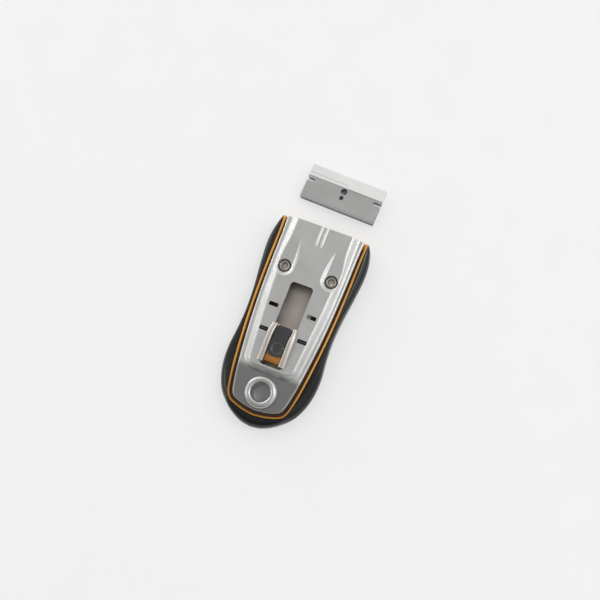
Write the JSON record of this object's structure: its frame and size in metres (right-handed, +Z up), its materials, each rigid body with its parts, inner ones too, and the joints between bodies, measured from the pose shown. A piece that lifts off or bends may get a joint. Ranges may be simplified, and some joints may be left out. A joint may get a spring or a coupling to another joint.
{
  "type": "retractable blade scraper",
  "caption": "Hand scraper with a thumb slide that runs a single-edge blade out of a steel and plastic handle, with spare blades beside it.",
  "frame": {"origin": "middle of the whole box, on the surface that the scraper and its spare blades lie on", "axes": "+Y along the handle, the way the blade comes out; +Z up through the steel top plate; +X to the right when looking along +Y"},
  "size_m": [0.0526, 0.1358, 0.016],
  "materials": {
    "black_grip": "black moulded plastic with a soft gloss",
    "orange_housing": "orange moulded plastic",
    "stainless_plate": "pressed and satin-polished stainless steel",
    "back_steel": "plain stainless sheet",
    "rivet_steel": "rolled tubular rivet",
    "eyelet_steel": "bright rolled eyelet",
    "carrier_steel": "plain oiled strip",
    "small_steel": "plain steel",
    "spring_steel": "spring steel",
    "blade_steel": "ground blade steel",
    "spine_steel": "bright folded sheet",
    "orange_block": "orange moulded plastic",
    "saddle_steel": "bright pressed sheet",
    "pad_plastic": "dark glossy plastic"
  },
  "bodies": {
    "handle": {"grip": "black_grip", "inner_housing": "orange_housing", "back_plate": "back_steel", "top_plate": "stainless_plate", "rivet_left": "rivet_steel", "rivet_right": "rivet_steel", "hang_eyelet": "eyelet_steel"},
    "carrier": {"blade_carrier": "carrier_steel", "blade_peg": "small_steel", "blade_clamp": "spring_steel", "clamp_rivet_left": "small_steel", "clamp_rivet_right": "small_steel", "guide_pin_front": "small_steel", "guide_pin_rear": "small_steel", "press_spring": "spring_steel", "loaded_blade": "blade_steel", "loaded_spine": "spine_steel"},
    "button": {"slider_block": "orange_block", "slider_saddle": "saddle_steel", "thumb_pad": "pad_plastic", "lock_spring": "spring_steel"},
    "spare_blades": {"spare_blade_1": "blade_steel", "spare_spine_1": "spine_steel", "spare_blade_2": "blade_steel", "spare_spine_2": "spine_steel", "spare_blade_3": "blade_steel", "spare_spine_3": "spine_steel", "spare_blade_4": "blade_steel", "spare_spine_4": "spine_steel"}
  },
  "joints": [
    {"name": "blade_slide", "type": "slide", "parent": "handle", "child": "carrier", "axis": [0, 1, 0], "range_m": [0, 0.021], "deforming": ["lock_spring"]},
    {"name": "button_press", "type": "slide", "parent": "carrier", "child": "button", "axis": [0, 0, -1], "range_m": [0, 0.0009], "stiffness_N_per_m": 3000, "springref_m": -0.0005, "deforming": ["press_spring"]},
    {"name": "spare_lift", "type": "slide", "parent": "handle", "child": "spare_blades", "axis": [0, 0, 1], "range_m": [0, 0.03]}
  ]
}
